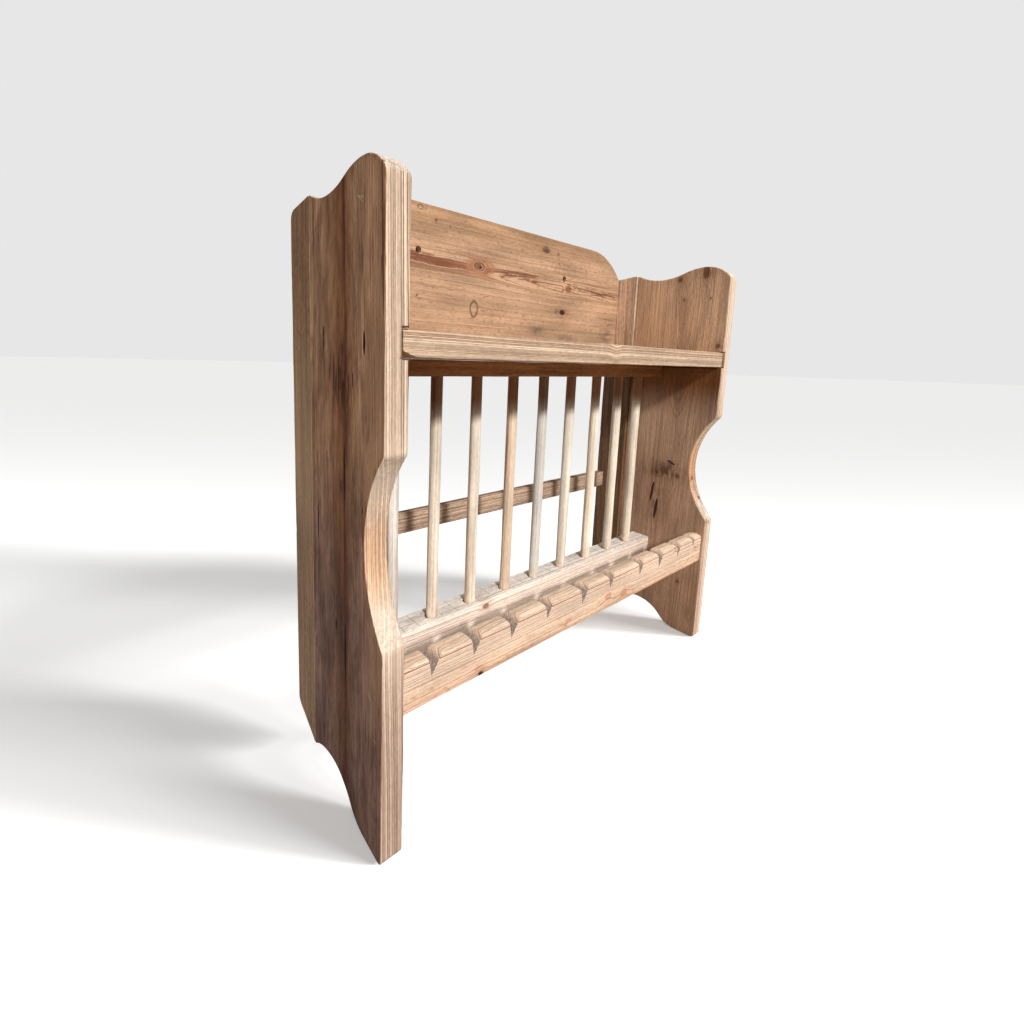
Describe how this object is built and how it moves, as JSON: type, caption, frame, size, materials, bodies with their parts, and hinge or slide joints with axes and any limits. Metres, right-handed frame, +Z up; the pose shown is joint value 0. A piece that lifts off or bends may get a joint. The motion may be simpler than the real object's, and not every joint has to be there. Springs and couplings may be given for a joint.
{
  "type": "wall plate rack",
  "caption": "Wall-hung pine plate rack with shaped sides, a shelf, a row of upright dowels and a notched front rail for plates on edge.",
  "frame": {"origin": "on the wall plane, midway between the two wall screw holes in the back board", "axes": "+Z up, +Y back into the wall, -Y to the front, +X to the right as seen from the front"},
  "size_m": [0.655, 0.216, 0.682],
  "materials": {
    "side_boards": "old stripped pine, dull and worn",
    "rear_boards": "old stripped pine, dull and worn",
    "shelf_board": "pale stripped pine, worn front edge",
    "back_board_wood": "orange-brown waxed pine with knots",
    "shaded_rail": "dark stripped pine",
    "dowel_rail_wood": "stripped pine, worn front edge",
    "front_rail_wood": "pinkish stripped pine, worn tooth tops",
    "back_rail_wood": "brown stripped pine",
    "dowels": "pale worn softwood",
    "pegs": "plain softwood",
    "nails": "dark rusted iron"
  },
  "bodies": {
    "root": {"left_side": "side_boards", "right_side": "side_boards", "left_rear_board": "rear_boards", "right_rear_board": "rear_boards", "shelf": "shelf_board", "back_board": "back_board_wood", "top_dowel_rail": "shaded_rail", "lower_dowel_rail": "dowel_rail_wood", "notched_front_rail": "front_rail_wood", "low_back_rail": "back_rail_wood", "dowel_1": "dowels", "dowel_2": "dowels", "dowel_3": "dowels", "dowel_4": "dowels", "dowel_5": "dowels", "dowel_6": "dowels", "dowel_7": "dowels", "dowel_8": "dowels", "dowel_9": "dowels", "shelf_nails": "nails", "front_rail_nails": "nails", "lower_rail_nails": "nails", "top_rail_nails": "nails", "back_rail_nails": "nails", "back_board_nails": "nails", "back_board_end_nails": "nails", "left_edge_pegs": "pegs", "right_edge_pegs": "pegs"}
  },
  "joints": []
}
